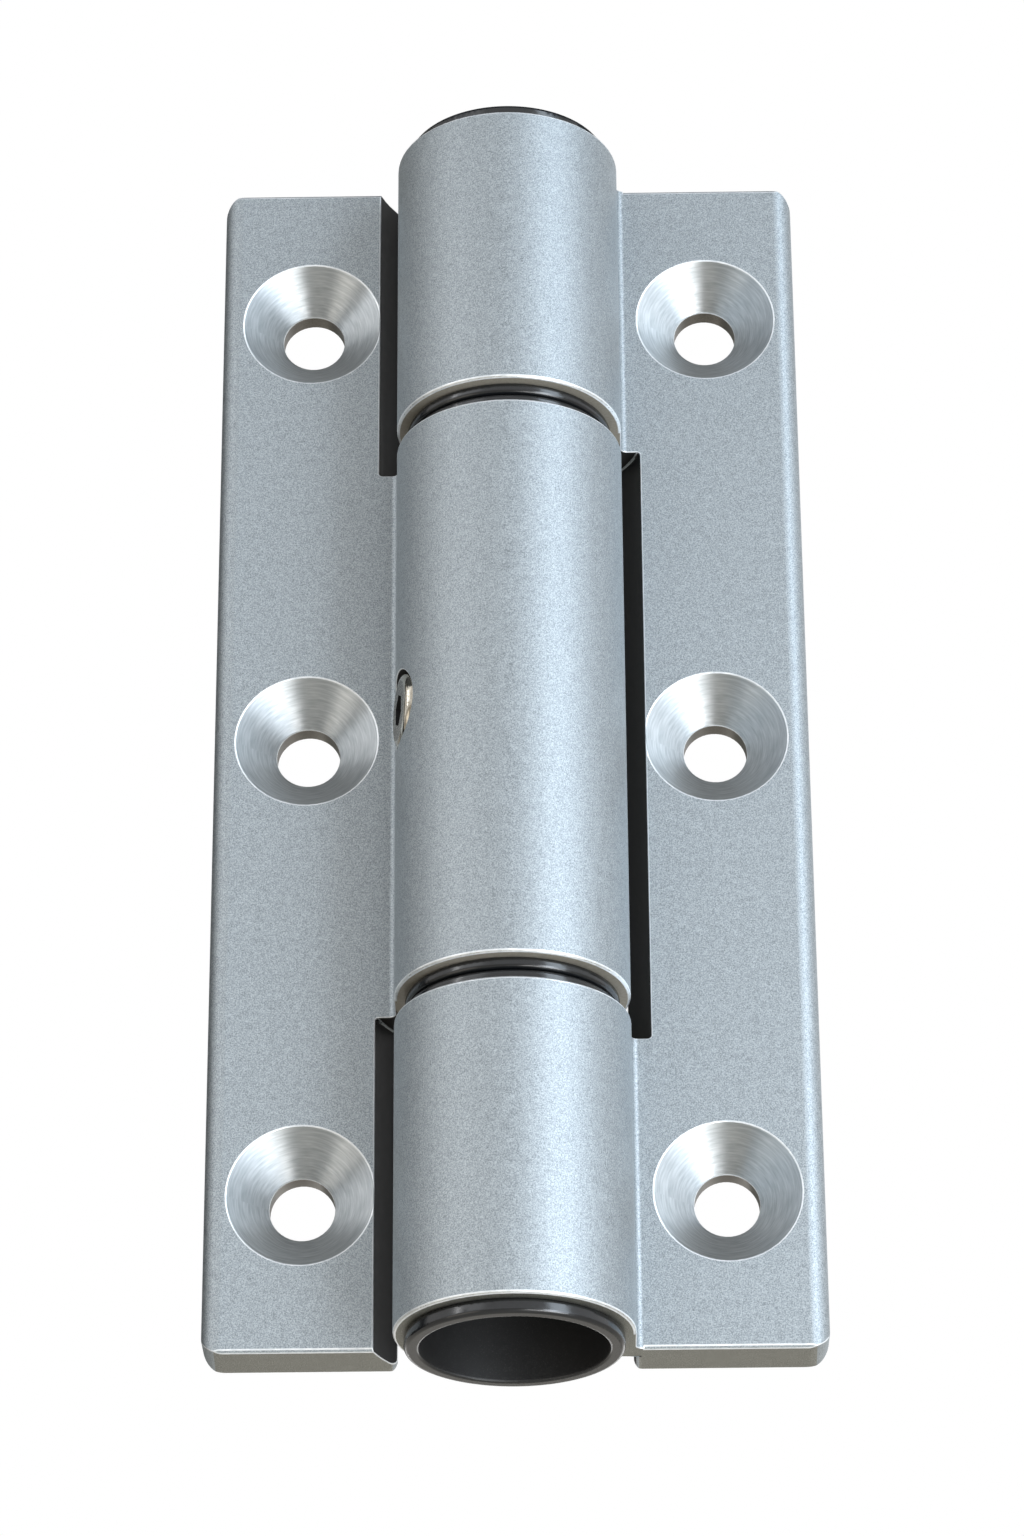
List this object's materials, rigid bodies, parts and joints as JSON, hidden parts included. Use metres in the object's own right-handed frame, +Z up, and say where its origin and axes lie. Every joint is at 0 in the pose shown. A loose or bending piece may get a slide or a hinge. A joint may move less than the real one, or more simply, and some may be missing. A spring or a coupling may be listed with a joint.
{
  "type": "pivot hinge",
  "caption": "Surface butt hinge with a thick barrel: two milled aluminium leaves turn on a steel pin in flanged plastic bushes.",
  "frame": {"origin": "on the pin axis at mid-height of the barrel", "axes": "+Z up the pin axis, +X across the leaves towards the door leaf, +Y towards the back of the leaves, which is the door and frame side"},
  "size_m": [0.06, 0.023, 0.133],
  "materials": {
    "anodised_aluminium": "satin",
    "pin_steel": "ground",
    "nickel_plate": "polished",
    "black_acetal": "semi-gloss"
  },
  "bodies": {
    "frame_side": {"frame_leaf": "anodised_aluminium", "hinge_pin": "pin_steel", "grub_screw": "nickel_plate", "upper_frame_bush": "black_acetal", "lower_frame_bush": "black_acetal"},
    "door_side": {"door_leaf": "anodised_aluminium", "upper_end_bush": "black_acetal", "upper_door_bush": "black_acetal", "lower_door_bush": "black_acetal", "lower_end_bush": "black_acetal"}
  },
  "joints": [
    {"name": "door_swing", "type": "hinge", "parent": "frame_side", "child": "door_side", "pos_m": [0, 0, 0], "axis": [0, 0, -1], "range_deg": [0, 180]}
  ]
}
